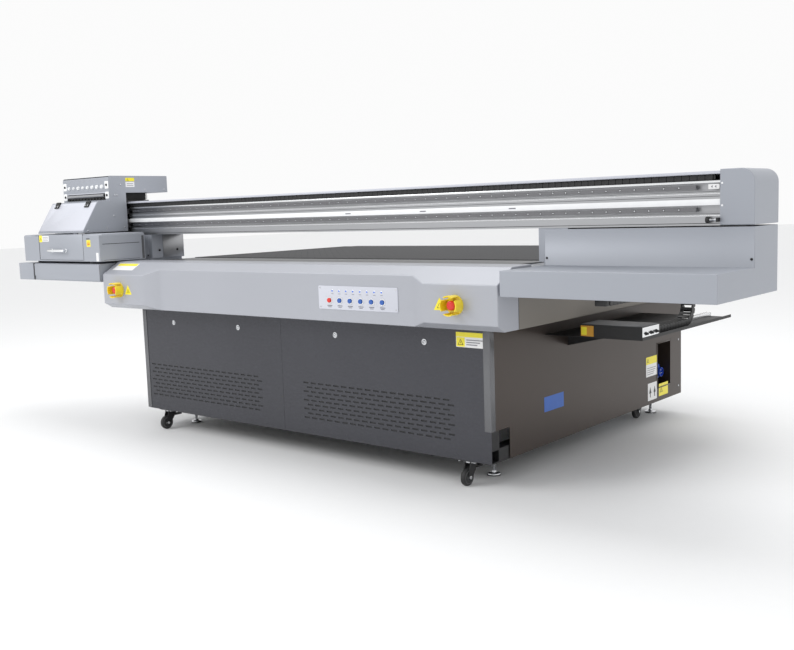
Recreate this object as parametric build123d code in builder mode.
"""Large flatbed printer: a cabinet with a vacuum bed, a gantry that runs along it, and a print carriage.

Millimetres. X runs along the gantry beam, +Y from the front to the back, +Z up.
The origin is on the floor, in the middle of the machine's length and depth.
Distances along Y are kept from the face of the front panels, through from_panel().
"""
from build123d import *
import os

os.makedirs("parts", exist_ok=True)

# ---------------------------------------------------------------- driving sizes
bed_width = 2458
bed_depth = 1300
bed_start = 429              # front edge of the bed, behind the panel face
bed_top = 947
rear_deck = 148              # between the bed and the rear panel's face
wing_length = 865            # of each wing, beyond the base
carriage_width = 484
caster_wheel_radius = 37.5
cabinet_top = 756
sheet = 2.0                  # folded steel sheet
tube = 60                    # square frame tube
tube_wall = 5
seat_gap = 0.2               # between pieces bolted or welded face to face
slide_gap = 0.3              # between faces that slide past each other
pin_gap = 0.05               # radial running clearance of a shaft

bumper_reach = 149           # how far the bumper's ends stand in front of the panels
shroud_depth = 51            # how far an emergency-stop shroud stands in front of the bumper
machine_front = -(bumper_reach + shroud_depth)

cabinet_width = bed_width - 76
cabinet_depth = bed_start + bed_depth + rear_deck    # front panel face to rear panel face
cabinet_bottom = 2 * caster_wheel_radius + 36
half_cabinet = cabinet_width / 2
half_bumper = half_cabinet + 147
wing_in = half_bumper + 15
half_length = wing_in + wing_length
half_bed = bed_width / 2
panel_face = -(machine_front + cabinet_depth) / 2


def from_panel(distance):
    """Y of a point that lies this far behind the front panels' face."""
    return panel_face + distance


def block(x_range, y_range, z_range, mode=Mode.ADD):
    """A box between two X, two Y (measured behind the front panels) and two Z values."""
    size = [b - a for a, b in (x_range, y_range, z_range)]
    middle = [(a + b) / 2 for a, b in (x_range, y_range, z_range)]
    with Locations((middle[0], from_panel(middle[1]), middle[2])):
        Box(*size, mode=mode)


def sided(side, low, high):
    """An X range on the right (side 1) or mirrored to the left (side -1)."""
    return (low, high) if side > 0 else (-high, -low)


def yz_outline(points):
    """A closed outline in the YZ plane, from (distance behind the panels, height) pairs."""
    Polygon(*[(from_panel(y), z) for y, z in points], align=None)


def save(builder, name):
    builder.part.label = name
    export_step(builder.part, f"parts/{name}.step")


def tube_bar(x_range, y_range, z_range, along):
    """A square tube with open ends, along axis 0, 1 or 2."""
    block(x_range, y_range, z_range)
    inside = [(low, high) if axis == along else (low + tube_wall, high - tube_wall)
              for axis, (low, high) in enumerate((x_range, y_range, z_range))]
    block(*inside, Mode.SUBTRACT)


# ---------------------------------------------------------------- base frame
frame_inset = 5              # frame tubes behind the sheet panels
tube_out = half_cabinet - frame_inset
tube_in = tube_out - tube
front_tube = (4, 4 + tube)
rear_tube = (cabinet_depth - 4 - tube, cabinet_depth - 4)
floor_ring = (cabinet_bottom, cabinet_bottom + tube)
cross_beam_top = 860
cross_beam_height = 80
cross_beam = (cross_beam_top - cross_beam_height, cross_beam_top)
rail_beam_in = half_cabinet + 4
rail_beam_out = rail_beam_in + 105
rail_beam_top = 880
rail_beam = (cabinet_top + 4, rail_beam_top)
between_tubes = (front_tube[1] + seat_gap, rear_tube[0] - seat_gap)

caster_x = tube_in - 76
caster_trail = 33
caster_plate = 2.8           # thickness
front_caster_y = 47
rear_caster_y = cabinet_depth - 237
foot_x = caster_x - 3
front_foot_y = 221
rear_foot_y = cabinet_depth - 87
bracket_thickness = 8
kingpin_radius = 6

with BuildPart() as base_frame:
    for ends in (front_tube, rear_tube):
        tube_bar((-tube_out, tube_out), ends, floor_ring, 0)
        tube_bar((-rail_beam_in + seat_gap, rail_beam_in - seat_gap), ends, cross_beam, 0)
        for x in (-tube_out, -tube / 2, tube_in):
            tube_bar((x, x + tube), ends, (floor_ring[1] + seat_gap, cross_beam[0] - seat_gap), 2)
    for x in (-tube_out, -tube / 2, tube_in):
        tube_bar((x, x + tube), between_tubes, floor_ring, 1)
    for share in (1 / 3, 2 / 3):
        y = cabinet_depth * share
        tube_bar((-rail_beam_in + seat_gap, rail_beam_in - seat_gap), (y, y + tube), cross_beam, 0)
    for side in (-1, 1):
        tube_bar(sided(side, rail_beam_in, rail_beam_out), (front_tube[0], rear_tube[1]), rail_beam, 1)
        shelf = sided(side, caster_x - 50, tube_in - seat_gap)
        for y, reach in ((front_foot_y, 30), (rear_foot_y, 30), (rear_caster_y, 50)):
            block(shelf, (y - reach, y + reach), (cabinet_bottom, cabinet_bottom + bracket_thickness))
        for y in (front_caster_y, rear_caster_y):
            top = cabinet_bottom - seat_gap
            block(sided(side, caster_x - 50, caster_x + 50), (y - 40, y + 40), (top - caster_plate, top))
    pins = [(side * caster_x, from_panel(y)) for side in (-1, 1) for y in (front_caster_y, rear_caster_y)]
    with Locations(*[(x, y, cabinet_bottom - seat_gap - caster_plate) for x, y in pins]):
        Cylinder(kingpin_radius + pin_gap, caster_plate, mode=Mode.SUBTRACT,
                 align=(Align.CENTER, Align.CENTER, Align.MIN))
save(base_frame, "base_frame")

# ---------------------------------------------------------------- cabinet sheets
panel_bottom = cabinet_bottom + 2
panel_seam_x = -60
panel_top = 740
vent_columns = 18
vent_rows = 9
vent_pitch_x = 50.4
vent_pitch_z = 21.5
vent_length = 34
vent_height = 7
vent_middle_z = 283
vent_middle_right = 543
vent_middle_left = -674.5

with BuildPart() as front_panels:
    block((-half_cabinet, panel_seam_x - 0.5), (0, sheet), (panel_bottom, panel_top))
    block((panel_seam_x + 0.5, half_cabinet), (0, sheet), (panel_bottom, panel_top))
    with BuildSketch(Plane.XZ.offset(-from_panel(0) + 1)):
        for middle in (vent_middle_left, vent_middle_right):
            for row in range(vent_rows):
                stagger = vent_pitch_x / 4 if row % 2 else -vent_pitch_x / 4
                z = vent_middle_z + (row - (vent_rows - 1) / 2) * vent_pitch_z
                with Locations((middle + stagger, z)):
                    with GridLocations(vent_pitch_x, 0, vent_columns, 1):
                        Rectangle(vent_length, vent_height)
    extrude(amount=-(sheet + 2), mode=Mode.SUBTRACT)
save(front_panels, "front_panels")

side_start = sheet + seat_gap
side_end = cabinet_depth - sheet - seat_gap
notch_depth = 138            # cut-out that clears the front foot
notch_top = 250
recess_y = (cabinet_depth - 302, cabinet_depth - 145)      # power inlet pocket in the right side
recess_z = (190, 427)
recess_back = half_cabinet - 92

with BuildPart() as side_panel_left:
    block((-half_cabinet, -half_cabinet + sheet), (side_start, side_end), (panel_bottom, cabinet_top))
save(side_panel_left, "side_panel_left")

with BuildPart() as side_panel_right:
    block((half_cabinet - sheet, half_cabinet), (side_start, side_end), (panel_bottom, cabinet_top))
    block((half_cabinet - sheet - 1, half_cabinet + 1), (0, notch_depth), (0, notch_top), Mode.SUBTRACT)
    pocket_y = (recess_y[0] - sheet, recess_y[1] + sheet)
    pocket_z = (recess_z[0] - sheet, recess_z[1] + sheet)
    block((recess_back - sheet, half_cabinet), pocket_y, pocket_z)
    block((recess_back, half_cabinet + 1), recess_y, recess_z, Mode.SUBTRACT)
save(side_panel_right, "side_panel_right")

bumper_bottom = 693
plate_bottom = 935           # underside of the bed and its surround
with BuildPart() as rear_panel:
    rear_sheet = (cabinet_depth - sheet, cabinet_depth)
    block((-half_cabinet, half_cabinet), rear_sheet, (panel_bottom, bumper_bottom))
    block((-half_bumper, half_bumper), rear_sheet, (bumper_bottom, plate_bottom - seat_gap))
save(rear_panel, "rear_panel")

# ---------------------------------------------------------------- front bumper
bumper_top = 951
bumper_rear = 100            # rear edge of its top, where the bed's surround starts
bumper_back = -2.2           # rear edge of its bottom, just ahead of the panels
centre_reach = 102           # the middle stands back from the ends
centre_half = half_cabinet - 316.5
centre_half_outer = half_cabinet - 228
button_start = half_cabinet - 804
button_x = [button_start + 63.6 * i for i in range(6)]
button_z = 791
button_radius = 11
button_hole = button_radius + 0.4
estop_x = (5 - half_cabinet, half_cabinet - 60)
estop_z = 800
stem_radius = 8
stem_hole = stem_radius + 0.4


def bumper_outline(skin):
    """The bumper's section, or with skin its inside, which runs out at the back."""
    rear = bumper_rear + (2 if skin else 0)
    back = rear if skin else bumper_back
    return [(-centre_reach + skin / 2, bumper_bottom + skin), (-bumper_reach + skin, 721 + skin / 2),
            (-bumper_reach + skin, 884 - skin / 2), (-43 + skin / 3, 949 - skin), (rear, bumper_top - skin),
            (rear, 930), (back, 930), (back, bumper_bottom + skin)]


def bumper_middle(skin):
    """Plan of what is cut away in front of the bumper's middle stretch."""
    front = -bumper_reach + skin
    face = -centre_reach + skin
    far = -bumper_reach - 30
    points = [(-centre_half_outer - skin, front), (-centre_half - skin / 2, face), (centre_half + skin / 2, face),
              (centre_half_outer + skin, front), (centre_half_outer + skin, far), (-centre_half_outer - skin, far)]
    Polygon(*[(x, from_panel(y)) for x, y in points], align=None)


with BuildPart() as bumper_inside:
    with BuildSketch(Plane.YZ.offset(-half_bumper + sheet)):
        yz_outline(bumper_outline(sheet))
    extrude(amount=2 * (half_bumper - sheet))
    with BuildSketch(Plane.XY.offset(bumper_bottom - 10)):
        bumper_middle(sheet)
    extrude(amount=400, mode=Mode.SUBTRACT)

with BuildPart() as front_bumper:
    with BuildSketch(Plane.YZ.offset(-half_bumper)):
        yz_outline(bumper_outline(0))
    extrude(amount=2 * half_bumper)
    with BuildSketch(Plane.XY.offset(bumper_bottom - 10)):
        bumper_middle(0)
    extrude(amount=400, mode=Mode.SUBTRACT)
    add(bumper_inside.part, mode=Mode.SUBTRACT)
    with BuildSketch(Plane.XZ.offset(-from_panel(-centre_reach - 5))):
        with Locations(*[(x, button_z) for x in button_x]):
            Circle(button_hole)
    extrude(amount=-20, mode=Mode.SUBTRACT)
    with BuildSketch(Plane.XZ.offset(-from_panel(-bumper_reach - 5))):
        with Locations(*[(x, estop_z) for x in estop_x]):
            Circle(stem_hole)
    extrude(amount=-20, mode=Mode.SUBTRACT)
save(front_bumper, "front_bumper")

# ---------------------------------------------------------------- bed, rails and their covers
surround_top = 945
rail_width = 20
rail_top = rail_beam_top + 20
rail_middle = rail_beam_in + 40
skirt_top = 896
cover_top = 940

with BuildPart() as vacuum_bed:
    block((-half_bed, half_bed), (bed_start, bed_start + bed_depth), (plate_bottom, bed_top))
save(vacuum_bed, "vacuum_bed")

with BuildPart() as bed_surround:
    block((-half_bed, half_bed), (bumper_rear + seat_gap, bed_start - seat_gap), (plate_bottom, surround_top))
    block((-half_bed, half_bed), (bed_start + bed_depth + seat_gap, cabinet_depth), (plate_bottom, surround_top))
save(bed_surround, "bed_surround")

plenum_half = half_cabinet - 41
plenum_y = (bed_start - 30, bed_start + bed_depth + 30)
with BuildPart() as vacuum_plenum:
    block((-plenum_half, plenum_half), plenum_y, (cross_beam_top + seat_gap, plate_bottom - seat_gap))
    inner_y = (plenum_y[0] + 3, plenum_y[1] - 3)
    block((3 - plenum_half, plenum_half - 3), inner_y, (cross_beam_top + 3, plate_bottom), Mode.SUBTRACT)
save(vacuum_plenum, "vacuum_plenum")

with BuildPart() as y_rails:
    for side in (-1, 1):
        x_range = sided(side, rail_middle - rail_width / 2, rail_middle + rail_width / 2)
        block(x_range, (110, cabinet_depth - 12), (rail_beam_top + seat_gap, rail_top))
save(y_rails, "y_rails")

for side, name in ((-1, "side_skirt_left"), (1, "side_skirt_right")):
    with BuildPart() as side_skirt:
        length = (bumper_back + seat_gap * 2, side_end)
        block(sided(side, half_bumper - sheet, half_bumper), length, (bumper_bottom, skirt_top))
        block(sided(side, half_cabinet + seat_gap, half_bumper), length, (bumper_bottom, bumper_bottom + sheet))
        flange = (rail_beam_top + seat_gap, rail_beam_top + seat_gap + sheet)
        block(sided(side, rail_beam_out - 30, half_bumper), length, flange)
    save(side_skirt, name)

with BuildPart() as rail_covers:
    for side in (-1, 1):
        length = (bumper_rear + seat_gap, cabinet_depth)
        block(sided(side, half_bed + seat_gap, half_bumper), length, (cover_top - sheet, cover_top))
        lip = (bumper_rear + seat_gap, side_end)
        block(sided(side, half_bumper - sheet, half_bumper), lip, (cover_top - 7, cover_top))
save(rail_covers, "rail_covers")

# ---------------------------------------------------------------- inside the cabinet
with BuildPart() as vacuum_blower:
    blower_y = 900
    on_ring = floor_ring[1] + seat_gap
    block((-150, 150), (blower_y - 110, blower_y + 230), (on_ring, on_ring + 6))
    block((-60, 60), (blower_y - 60, blower_y + 60), (on_ring + 6, on_ring + 60))
    block((-50, 50), (blower_y + 100, blower_y + 200), (on_ring + 6, on_ring + 110))
    with BuildSketch(Plane.XZ.offset(-from_panel(blower_y + 60))):
        with Locations((0, on_ring + 190)):
            Circle(160)
    extrude(amount=120)
    with BuildSketch(Plane.XZ.offset(-from_panel(blower_y + 60))):
        with Locations((0, on_ring + 190)):
            Circle(85)
    extrude(amount=-190)
    with BuildSketch(Plane.XY.offset(on_ring + 300)):
        with Locations((0, from_panel(blower_y))):
            Circle(32)
    extrude(amount=cross_beam_top - on_ring - 300)
save(vacuum_blower, "vacuum_blower")

with BuildPart() as electronics_case:
    on_ring = floor_ring[1] + seat_gap
    back = cabinet_depth - 337
    front = back - 370
    case_x = (300, 1000)
    case_top = 600
    block((170, tube_out), (front - 20, back + 20), (on_ring, on_ring + sheet))
    block(case_x, (front, back), (on_ring + sheet, case_top))
    inside_z = (on_ring + 2 * sheet, case_top - sheet)
    block((case_x[0] + sheet, case_x[1] - sheet), (front + sheet, back + 1), inside_z, Mode.SUBTRACT)
    block((case_x[0] + 20, case_x[1] - 20), (front + 10, front + 14), (inside_z[0], 560))
    for i in range(4):
        drive_x = case_x[0] + 60 + 160 * i
        block((drive_x, drive_x + 90), (front + 14, front + 130), (240, 420))
save(electronics_case, "electronics_case")

inlet_middle = (recess_y[0] + 80, 262)
with BuildPart() as power_inlet:
    y, z = inlet_middle
    block((recess_back + seat_gap, recess_back + 8), (y - 42, y + 42), (z - 42, z + 42))
    with BuildSketch(Plane.YZ.offset(recess_back + 8)):
        with Locations((from_panel(y), z)):
            Circle(32)
    extrude(amount=42)
    with BuildSketch(Plane.YZ.offset(recess_back + 50)):
        with Locations((from_panel(y), z)):
            Circle(26)
    extrude(amount=30)
save(power_inlet, "power_inlet")

# ---------------------------------------------------------------- feet
foot_points = [(side * foot_x, from_panel(y)) for side in (-1, 1) for y in (front_foot_y, rear_foot_y)]
with BuildPart() as leveling_feet:
    with BuildSketch(Plane.XY):
        with Locations(*foot_points):
            Circle(30)
    extrude(amount=14)
    with BuildSketch(Plane.XY.offset(14)):
        with Locations(*foot_points):
            Circle(8)
    extrude(amount=cabinet_bottom - seat_gap - 14)
    with BuildSketch(Plane.XY.offset(cabinet_bottom - seat_gap - 14)):
        with Locations(*foot_points):
            RegularPolygon(14, 6)
    extrude(amount=14)
save(leveling_feet, "leveling_feet")

# ---------------------------------------------------------------- control panel and emergency stops
plate_x = (button_x[0] - 69, button_x[-1] + 87)
plate_z = (750, 857)
bezel_radius = 15
lamp_x = [button_x[0] + 19 + 42.15 * i for i in range(8)]
lamp_z = 834
face = -centre_reach - seat_gap

with BuildPart() as control_panel:
    block(plate_x, (face - sheet, face), plate_z)
    with BuildSketch(Plane.XZ.offset(-from_panel(face - sheet))):
        with Locations(*[(x, button_z) for x in button_x]):
            Circle(bezel_radius)
    extrude(amount=3)
    with BuildSketch(Plane.XZ.offset(-from_panel(face))):
        with Locations(*[(x, button_z) for x in button_x]):
            Circle(button_hole)
    extrude(amount=20, mode=Mode.SUBTRACT)
    with BuildSketch(Plane.XZ.offset(-from_panel(face - sheet))):
        with Locations(*[(x, lamp_z) for x in lamp_x]):
            Circle(5)
    extrude(amount=3)
save(control_panel, "control_panel")

button_travel = 3
button_front = face - sheet - 3 - button_travel - 2
for number, x in enumerate(button_x, start=1):
    with BuildPart() as panel_button:
        with BuildSketch(Plane.XZ.offset(-from_panel(face + 8))):
            with Locations((x, button_z)):
                Circle(button_radius)
        extrude(amount=face + 8 - button_front)
        fillet(panel_button.faces().sort_by(Axis.Y)[0].edges(), 1.5)
    save(panel_button, f"panel_button_{number}")

shroud_radius = 42
shroud_wall = 5
head_radius = 20
estop_travel = 6
shroud_back = -bumper_reach - seat_gap
with BuildPart() as estop_shrouds:
    for x in estop_x:
        with BuildSketch(Plane.XZ.offset(-from_panel(shroud_back))):
            with Locations((x, estop_z)):
                Circle(shroud_radius)
        extrude(amount=4)
        with BuildSketch(Plane.XZ.offset(-from_panel(shroud_back - 4))):
            with Locations((x, estop_z)):
                Circle(shroud_radius)
                Circle(shroud_radius - shroud_wall, mode=Mode.SUBTRACT)
                with PolarLocations(shroud_radius, 4, start_angle=45):
                    Rectangle(20, 16, mode=Mode.SUBTRACT)
        extrude(amount=machine_front * -1 + shroud_back - 4)
        with BuildSketch(Plane.XZ.offset(-from_panel(shroud_back))):
            with Locations((x, estop_z)):
                Circle(stem_hole)
        extrude(amount=4, mode=Mode.SUBTRACT)
save(estop_shrouds, "estop_shrouds")

for x, name in zip(estop_x, ("estop_button_left", "estop_button_right")):
    with BuildPart() as estop_button:
        with BuildSketch(Plane.XZ.offset(-from_panel(shroud_back + 12))):
            with Locations((x, estop_z)):
                Circle(stem_radius)
        extrude(amount=12 + 4 + estop_travel + 4)
        head_back = shroud_back - 4 - estop_travel - 4
        with BuildSketch(Plane.XZ.offset(-from_panel(head_back))):
            with Locations((x, estop_z)):
                Circle(head_radius)
        extrude(amount=22)
        fillet(estop_button.faces().sort_by(Axis.Y)[0].edges(), 7)
    save(estop_button, name)

# ---------------------------------------------------------------- cable tray and the long-axis chain
wing_bottom = 840
chain_width = 60
chain_height = 34
bend_radius = 82             # to the middle of the chain
anchor_height = 28
tray_out = wing_in + 307
tray_top = wing_bottom - anchor_height - chain_height - 2 * bend_radius
tray_z = (tray_top - sheet, tray_top)
tray_y = (440, 1400)
chain_middle_x = tray_out - 60
chain_x = (chain_middle_x - chain_width / 2, chain_middle_x + chain_width / 2)
chain_low = tray_z[1] + seat_gap
chain_high = chain_low + 2 * bend_radius
box_end = 600
bend_y = 950

with BuildPart() as cable_tray:
    block((half_cabinet + seat_gap, tray_out), tray_y, tray_z)
    block((tray_out - sheet, tray_out), tray_y, (tray_z[0], tray_z[1] + 12))
    for y in (tray_y[0] + 200, tray_y[1] - 150):
        with BuildSketch(Plane.XZ.offset(-from_panel(y))):
            at_wall = half_cabinet + seat_gap
            Polygon((at_wall, tray_z[0] - 72), (at_wall, tray_z[0]), (tray_out - 160, tray_z[0]), align=None)
        extrude(amount=3)
    box_z = (tray_top + seat_gap, tray_top + 54)
    block((tray_out - 290, tray_out - sheet - seat_gap), (tray_y[0], box_end), box_z)
save(cable_tray, "cable_tray")

with BuildPart() as y_chain_run:
    block(chain_x, (box_end + seat_gap, bend_y - seat_gap), (chain_low, chain_low + chain_height))
save(y_chain_run, "y_chain_run")

with BuildPart() as y_chain_bend:
    with BuildSketch(Plane.YZ.offset(chain_x[0])):
        with Locations((from_panel(bend_y), chain_low + chain_height / 2 + bend_radius)):
            Circle(bend_radius + chain_height / 2)
            Circle(bend_radius - chain_height / 2, mode=Mode.SUBTRACT)
            with Locations((-200, 0)):
                Rectangle(400, 400, mode=Mode.SUBTRACT)
    extrude(amount=chain_width)
save(y_chain_bend, "y_chain_bend")

gantry_travel = 1400
anchor_length = 60
anchor_y = bend_y - gantry_travel / 2 - anchor_length    # still in front of the bend at full travel
with BuildPart() as y_chain_upper:
    block(chain_x, (anchor_y, bend_y - seat_gap), (chain_high, chain_high + chain_height))
    anchor_z = (chain_high + chain_height, wing_bottom - seat_gap)
    block(chain_x, (anchor_y, anchor_y + anchor_length), anchor_z)
save(y_chain_upper, "y_chain_upper")

# ---------------------------------------------------------------- gantry beam
beam_half = half_length - 126
beam_front = 183
beam_rear = 417
beam_bottom = 1094
beam_top = 1285
groove_depth = 26
groove_half = 14
rail_z = (1153, 1234)        # the carriage's lower and upper rails
x_rail_half = 7.5
x_rail_end = beam_half - 94
chain_slot = (1257, beam_top)

with BuildPart() as gantry_beam:
    block((-beam_half, beam_half), (beam_front, beam_rear), (beam_bottom, beam_top))
    far = beam_half + 1
    for z in rail_z:
        groove = (beam_front - 1, beam_front + groove_depth)
        block((-far, far), groove, (z - groove_half, z + groove_half), Mode.SUBTRACT)
    block((-far, far), (beam_front - 1, beam_front + 77), (chain_slot[0], chain_slot[1] + 1), Mode.SUBTRACT)
    hollow_y = (beam_front + groove_depth + 12, beam_rear - 10)
    block((-far, far), hollow_y, (beam_bottom + 10, chain_slot[0] - 10), Mode.SUBTRACT)
save(gantry_beam, "gantry_beam")

with BuildPart() as beam_top_cover:
    block((-beam_half, beam_half), (beam_front - 4, beam_rear), (beam_top + seat_gap, beam_top + 6))
    block((-beam_half, beam_half), (beam_front - 4, beam_front - 2), (beam_top - 5, beam_top + 6))
save(beam_top_cover, "beam_top_cover")

with BuildPart() as beam_rails:
    for z in rail_z:
        rail_y = (beam_front + 2, beam_front + groove_depth - seat_gap)
        block((-x_rail_end, x_rail_end), rail_y, (z - x_rail_half, z + x_rail_half))
save(beam_rails, "beam_rails")

with BuildPart() as beam_strips:
    block((-beam_half, beam_half), (beam_front - 1.7, beam_front - seat_gap), (1168, 1190))
    block((-beam_half, beam_half), (beam_front - 1.7, beam_front - seat_gap), (1249, 1256))
save(beam_strips, "beam_strips")

with BuildPart() as x_chain:
    block((-beam_half + 12, beam_half - 12), (beam_front + 8, beam_front + 68), (chain_slot[0] + seat_gap, 1279))
save(x_chain, "x_chain")

cap_bottom = beam_bottom + 1
cap_top = 1297
cap_radius = 50
cap_y = (beam_front - 5, beam_rear + 5)


def round_upper_corners(builder, radius):
    """Round the upper outer corner of both end caps."""
    for side in (-1, 1):
        corner = builder.edges().filter_by(Axis.Y).sort_by(lambda edge: edge.center().Z + side * edge.center().X)[-1]
        fillet(corner, radius)


with BuildPart() as caps_inside:
    for side in (-1, 1):
        inside_x = sided(side, beam_half - 3, half_length - sheet)
        block(inside_x, (cap_y[0] + sheet, cap_y[1] - sheet), (cap_bottom + sheet, cap_top - sheet))
    round_upper_corners(caps_inside, cap_radius - sheet)

with BuildPart() as beam_end_caps:
    for side in (-1, 1):
        block(sided(side, beam_half + seat_gap, half_length), cap_y, (cap_bottom, cap_top))
    round_upper_corners(beam_end_caps, cap_radius)
    add(caps_inside.part, mode=Mode.SUBTRACT)
save(beam_end_caps, "beam_end_caps")

# ---------------------------------------------------------------- gantry wings and legs
wing_front = -155
ledge_top = 942
wing_top = 1089
leg_in = wing_in - 31
leg_out = wing_in + 107
leg_y = (beam_front + sheet + seat_gap, beam_rear - sheet - seat_gap)
foot_plate = (917, 929)
over_cover = 955             # the leg clears the rail cover here
around_skirt = half_bumper + 8

with BuildPart() as gantry_legs:
    for side in (-1, 1):
        points = [(leg_in, beam_bottom - seat_gap), (leg_in, over_cover), (around_skirt, over_cover),
                  (around_skirt, foot_plate[1]), (rail_middle - 30, foot_plate[1]), (rail_middle - 30, foot_plate[0]),
                  (around_skirt, foot_plate[0]), (around_skirt, wing_bottom + 10), (leg_out, wing_bottom + 10),
                  (leg_out, beam_bottom - seat_gap)]
        with BuildSketch(Plane.XZ.offset(-from_panel(leg_y[1]))):
            Polygon(*[(side * x, z) for x, z in points], align=None)
        extrude(amount=leg_y[1] - leg_y[0])
save(gantry_legs, "gantry_legs")


def wing_outline(skin):
    """L-shaped section of a wing; the low ledge reaches forward under the carriage."""
    return [(wing_front + skin, wing_bottom + skin), (wing_front + skin, ledge_top - skin),
            (beam_front + skin, ledge_top - skin), (beam_front + skin, wing_top - skin),
            (beam_rear - skin, wing_top - skin), (beam_rear - skin, wing_bottom + skin)]


for side, name in ((-1, "wing_cover_left"), (1, "wing_cover_right")):
    with BuildPart() as wing_cover:
        start = wing_in if side > 0 else -half_length
        with BuildSketch(Plane.YZ.offset(start)):
            yz_outline(wing_outline(0))
        extrude(amount=half_length - wing_in)
        inner_start = wing_in - 1 if side > 0 else -half_length + sheet
        with BuildSketch(Plane.YZ.offset(inner_start)):
            yz_outline(wing_outline(sheet))
        extrude(amount=half_length - wing_in - sheet + 1, mode=Mode.SUBTRACT)
        leg_hole = sided(side, wing_in - 1, leg_out + seat_gap)
        block(leg_hole, leg_y, (wing_top - sheet - 1, wing_top + 1), Mode.SUBTRACT)
    save(wing_cover, name)

block_y = ((190, 260), (340, 410))
block_z = (886, foot_plate[0] - seat_gap)
with BuildPart() as y_bearings:
    for side in (-1, 1):
        for y_range in block_y:
            block(sided(side, rail_middle - 25, rail_middle + 25), y_range, block_z)
        slot_half = rail_width / 2 + slide_gap
        slot = sided(side, rail_middle - slot_half, rail_middle + slot_half)
        block(slot, (150, 450), (block_z[0] - 1, rail_top + slide_gap), Mode.SUBTRACT)
save(y_bearings, "y_bearings")

with BuildPart() as y_motors:
    for side in (-1, 1):
        start = leg_out + seat_gap
        block(sided(side, start, start + 12), (250, 350), (wing_bottom + 12, wing_bottom + 96))
        block(sided(side, start + 12, start + 150), (262, 338), (wing_bottom + 16, wing_bottom + 92))
save(y_motors, "y_motors")

# ---------------------------------------------------------------- capping station on the left wing
carriage_x = (219 - half_length, 219 - half_length + carriage_width)
station_x = (carriage_x[0] - 118, carriage_x[1] + 196)
station_y = (-170, 133)
station_bottom = 956
station_top = 1112
well_x = (carriage_x[0] - 56, carriage_x[1] + 15)      # the carriage sinks into this well to cap its heads
well_front = station_y[0] + 10
drawer_x = (carriage_x[0] + 50, carriage_x[1] + 34)
well_floor = 975
drawer_front = 14
head_pitch = (carriage_width - 134) / 5
head_x = [carriage_x[0] + 69 + head_pitch * i for i in range(6)]

with BuildPart() as station_box:
    block(station_x, station_y, (station_bottom, station_top))
    upper = station_box.faces().sort_by(Axis.Z)[-1].edges()
    fillet(upper, 12)
    block(well_x, (well_front, station_y[1] - 15), (well_floor, station_top + 1), Mode.SUBTRACT)
    block(well_x, (0, station_y[1] + 1), (1070, station_top + 1), Mode.SUBTRACT)
    block(drawer_x, (station_y[0] - 1, station_y[0] + 19), (962, station_top + 1), Mode.SUBTRACT)
    for pocket in ((station_x[0] + sheet, well_x[0] - sheet), (well_x[1] + sheet, station_x[1] - sheet)):
        inside_y = (station_y[0] + 22, station_y[1] - sheet)
        block(pocket, inside_y, (station_bottom - 1, station_top - 4), Mode.SUBTRACT)
    block((well_x[0], well_x[1]), (station_y[0] + 22, station_y[1] - sheet), (station_bottom - 1, well_floor - 3),
          Mode.SUBTRACT)
    for x in (well_x[0] - 6, well_x[1] + 2):
        block((x, x + 4), (-120, 100), (ledge_top + seat_gap, station_bottom + 6))
save(station_box, "station_box")

with BuildPart() as capping_pads:
    block((well_x[0] + seat_gap, well_x[1] - seat_gap), (-90, 100), (1060, 1064))
    for middle in head_x:
        block((middle - 20, middle + 20), (-60, 70), (1064, 1073))
        block((middle - 15, middle + 15), (-55, 65), (1067, 1074), Mode.SUBTRACT)
save(capping_pads, "capping_pads")

front_gap = 2
panel_y = (station_y[0], station_y[0] + drawer_front)
box_x = (drawer_x[0] + 19, well_x[1] - 2)
box_y = (panel_y[1], 104)
box_z = (well_floor + slide_gap, 1045)
handle_z = 1018
handle_x = (drawer_x[0] + 139, drawer_x[1] - 176)
with BuildPart() as station_drawer:
    panel_x = (drawer_x[0] + front_gap, drawer_x[1] - front_gap)
    block(panel_x, panel_y, (964, station_top - 1))
    block(box_x, box_y, box_z)
    inside = (box_z[0] + sheet, box_z[1] + 1)
    block((box_x[0] + sheet, box_x[1] - sheet), (box_y[0] + 1, box_y[1] - sheet), inside, Mode.SUBTRACT)
    for x in (handle_x[0], handle_x[1] - 10):
        block((x, x + 10), (station_y[0] - 28, station_y[0]), (handle_z - 5, handle_z + 5))
    block(handle_x, (station_y[0] - 28, station_y[0] - 18), (handle_z - 5, handle_z + 5))
save(station_drawer, "station_drawer")

# ---------------------------------------------------------------- carriage sled on the beam
sled_x = (carriage_x[0] + 14, carriage_x[1] - 14)
sled_y = (beam_front - 17, beam_front - 11)
bearing_y = (sled_y[1] + seat_gap, beam_front + 19)
guide_y = (sled_y[0] - seat_gap - 8, sled_y[0] - seat_gap)
guide_x = (sled_x[0] + 50, sled_x[1] - 65)
guide_width = 15
bracket_z = (beam_top + 8, beam_top + 16)

with BuildPart() as sled_plate:
    block(sled_x, sled_y, (1105, bracket_z[1]))
    block((sled_x[1] - 200, sled_x[1]), (sled_y[0], beam_front + 150), bracket_z)
    for x in guide_x:
        block((x, x + guide_width), (guide_y[0], sled_y[0]), (1140, 1275))
save(sled_plate, "sled_plate")

with BuildPart() as x_bearings:
    for z in rail_z:
        for x in (sled_x[0] + 10, sled_x[1] - 80):
            block((x, x + 70), bearing_y, (z - 13, z + 13))
        slot_z = (z - x_rail_half - slide_gap, z + x_rail_half + slide_gap)
        block((sled_x[0], sled_x[1]), (beam_front + 2 - slide_gap, beam_front + 60), slot_z, Mode.SUBTRACT)
save(x_bearings, "x_bearings")

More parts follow.
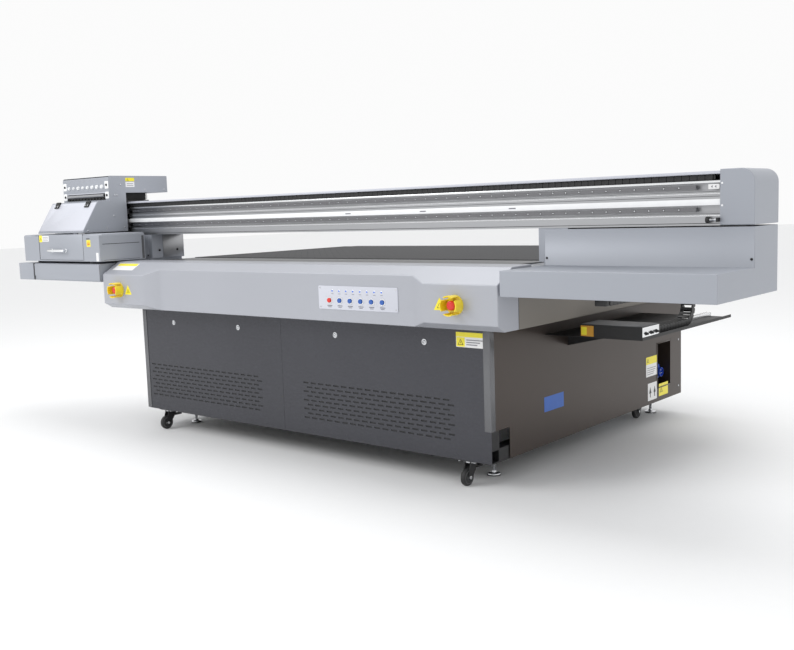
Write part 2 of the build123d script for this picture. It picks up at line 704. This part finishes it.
# ---------------------------------------------------------------- head unit that the sled lifts and lowers
housing_outer = [(-141, 1118), (-141, 1124), (-32, 1296), (48, 1300), (48, 1444), (464, 1444), (464, 1345),
                 (162, 1345), (162, 1118)]
housing_inner = [(-139, 1110), (-139, 1123.4), (-31, 1293.6), (50, 1297.6), (50, 1442), (462, 1442), (462, 1347),
                 (163, 1347), (163, 1110)]
slant_low = Vector(0, from_panel(-141), 1124)
slant_high = Vector(0, from_panel(-32), 1296)
slant = slant_high - slant_low
carriage_middle = sum(carriage_x) / 2
slant_middle = (slant_low + slant_high) * 0.5
slant_normal = Vector(0, -slant.Z, slant.Y).normalized()
slant_plane = Plane(origin=(carriage_middle, slant_middle.Y, slant_middle.Z), x_dir=(1, 0, 0), z_dir=slant_normal)
lid_width = carriage_x[1] - carriage_x[0] - 8

with BuildPart() as housing_inside:
    with BuildSketch(Plane.YZ.offset(carriage_x[0] + sheet)):
        yz_outline(housing_inner)
    extrude(amount=carriage_x[1] - carriage_x[0] - 2 * sheet)

with BuildPart() as carriage_housing:
    with BuildSketch(Plane.YZ.offset(carriage_x[0])):
        yz_outline(housing_outer)
    extrude(amount=carriage_x[1] - carriage_x[0])
    top_front = carriage_housing.edges().filter_by(Axis.X).sort_by(lambda e: e.center().Z - e.center().Y)[-1]
    fillet(top_front, 14)
    add(housing_inside.part, mode=Mode.SUBTRACT)
    with BuildSketch(slant_plane):
        Rectangle(lid_width - 60, slant.length - 50)
    extrude(amount=12, both=True, mode=Mode.SUBTRACT)
    block((carriage_x[0] + 40, carriage_x[1] - 40), (40, 60), (1306, 1346), Mode.SUBTRACT)
save(carriage_housing, "carriage_housing")

hinge_radius = 5
hinge_lift = hinge_radius + 1
hinge_width = 34
hinge_x = (-lid_width / 4 - 40, lid_width / 4 + 40)
barrel_row = slant.length / 2 - 5
hinge_row = slant.length / 2 - 16
with BuildPart() as carriage_lid:
    with BuildSketch(slant_plane.offset(slide_gap)):
        Rectangle(lid_width, slant.length - 14)
    extrude(amount=2.5)
    with BuildSketch(slant_plane.offset(slide_gap)):
        with Locations(*[(x, hinge_row) for x in hinge_x]):
            Rectangle(hinge_width, 22)
    extrude(amount=2.5 + 2)
    for x in hinge_x:
        barrel_middle = Plane(origin=slant_plane.from_local_coords(Vector(x, barrel_row, hinge_lift)), z_dir=(1, 0, 0))
        with BuildSketch(barrel_middle.offset(-hinge_width / 2)):
            Circle(hinge_radius)
        extrude(amount=hinge_width)
save(carriage_lid, "carriage_lid")
hinge_axis = slant_plane.from_local_coords(Vector(0, barrel_row, hinge_lift))
print("lid hinge axis", [round(v, 2) for v in tuple(hinge_axis)])

lift_plate_y = (guide_y[0] - slide_gap - 12, guide_y[0] - slide_gap)
with BuildPart() as lift_plate:
    block((carriage_x[0] + sheet + seat_gap, carriage_x[1] - sheet - seat_gap), lift_plate_y, (1122, 1290))
    for x in guide_x:
        shoe_y = (lift_plate_y[1], sled_y[0] - slide_gap)
        block((x - 12, x - slide_gap), shoe_y, (1180, 1230))
        block((x + guide_width + slide_gap, x + guide_width + 12), shoe_y, (1180, 1230))
save(lift_plate, "lift_plate")

head_plate_z = (1126, 1131)
with BuildPart() as print_heads:
    plate_x_range = (carriage_x[0] + sheet + seat_gap, carriage_x[1] - sheet - seat_gap)
    block(plate_x_range, (-130, lift_plate_y[0] - seat_gap), head_plate_z)
    for middle in head_x:
        block((middle - 18, middle + 18), (-60, 70), (1115, 1175))
        block((middle - 10, middle + 10), (-40, 50), (1175, 1215))
save(print_heads, "print_heads")

with BuildPart() as uv_lamps:
    for x in (carriage_x[0] + sheet + seat_gap, carriage_x[1] - sheet - seat_gap - 30):
        block((x, x + 30), (-75, 100), (head_plate_z[1] + seat_gap, 1200))
save(uv_lamps, "uv_lamps")

# ---------------------------------------------------------------- casters
wheel_width = 24
axle_radius = 4
fork_plate = 3
fork_top = cabinet_bottom - seat_gap - caster_plate - slide_gap
corner_names = {(1, front_caster_y): "front_right", (-1, front_caster_y): "front_left",
                (1, rear_caster_y): "rear_right", (-1, rear_caster_y): "rear_left"}
for (side, caster_y), corner in corner_names.items():
    x = side * caster_x
    wheel_y = caster_y - caster_trail
    with BuildPart() as caster_fork:
        with BuildSketch(Plane.XY.offset(fork_top - 8)):
            with Locations((x, from_panel(caster_y))):
                Circle(27)
        extrude(amount=8)
        with BuildSketch(Plane.XY.offset(fork_top)):
            with Locations((x, from_panel(caster_y))):
                Circle(kingpin_radius)
        extrude(amount=slide_gap + caster_plate)
        for wall in (-1, 1):
            start = x + wall * (wheel_width / 2 + 1.5) - (fork_plate if wall < 0 else 0)
            with BuildSketch(Plane.YZ.offset(start)):
                yz_outline([(caster_y + 24, fork_top - 6), (caster_y - 26, fork_top - 6),
                            (wheel_y - 11, caster_wheel_radius + 6.5), (wheel_y - 8, caster_wheel_radius - 9.5),
                            (wheel_y + 8, caster_wheel_radius - 9.5), (caster_y + 8, caster_wheel_radius + 24.5)])
            extrude(amount=fork_plate)
        crown_x = (x - wheel_width / 2 - 4, x + wheel_width / 2 + 4)
        block(crown_x, (caster_y - 26, caster_y + 24), (fork_top - 8, fork_top - 5))
        with BuildSketch(Plane.YZ.offset(x - wheel_width / 2 - 8)):
            with Locations((from_panel(wheel_y), caster_wheel_radius)):
                Circle(axle_radius)
        extrude(amount=wheel_width + 16)
        if caster_y == front_caster_y:
            pedal = (caster_y + 24, caster_y + 62)
            block((x - 15, x + 15), pedal, (70, 74))
            block((x - 15, x + 15), (caster_y + 20, caster_y + 24), (70, fork_top - 5))
    save(caster_fork, f"caster_fork_{corner}")

    with BuildPart() as caster_wheel:
        with BuildSketch(Plane.YZ.offset(x - wheel_width / 2)):
            with Locations((from_panel(wheel_y), caster_wheel_radius)):
                Circle(caster_wheel_radius)
        extrude(amount=wheel_width)
        fillet(caster_wheel.edges().filter_by(GeomType.CIRCLE), 4)
        with BuildSketch(Plane.YZ.offset(x - wheel_width / 2)):
            with Locations((from_panel(wheel_y), caster_wheel_radius)):
                Circle(axle_radius + pin_gap)
        extrude(amount=wheel_width, mode=Mode.SUBTRACT)
    save(caster_wheel, f"caster_wheel_{corner}")
